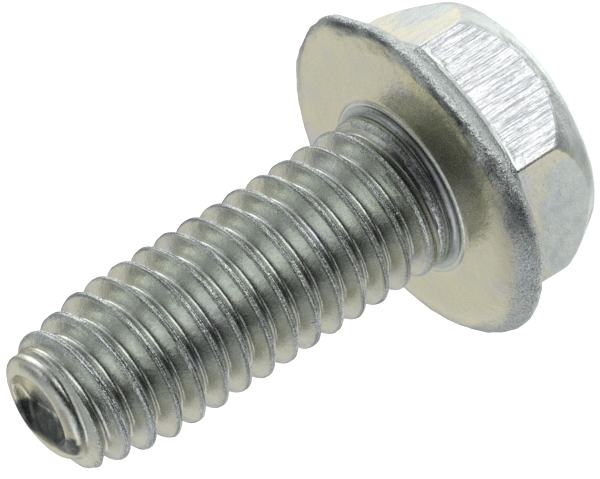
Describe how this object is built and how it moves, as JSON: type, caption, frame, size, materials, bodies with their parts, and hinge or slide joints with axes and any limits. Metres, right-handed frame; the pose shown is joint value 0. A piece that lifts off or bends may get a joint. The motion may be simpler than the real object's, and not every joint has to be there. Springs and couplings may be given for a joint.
{
  "type": "flange bolt",
  "caption": "Hexagon flange bolt with a cupped point: the threaded shank screws into a nut or tapped hole and the flange clamps the joint.",
  "frame": {"origin": "centre of the flange's bearing face, on the shank's axis", "axes": "+Z runs along the shank from the head to the tip; the bolt stands on the flat top of its head, at negative Z"},
  "size_m": [0.0128, 0.0128, 0.0207],
  "materials": {
    "zinc_plate": "satin zinc plate with a clear, faintly yellow passivation"
  },
  "bodies": {
    "root": {"flange_bolt": "zinc_plate"}
  },
  "joints": []
}
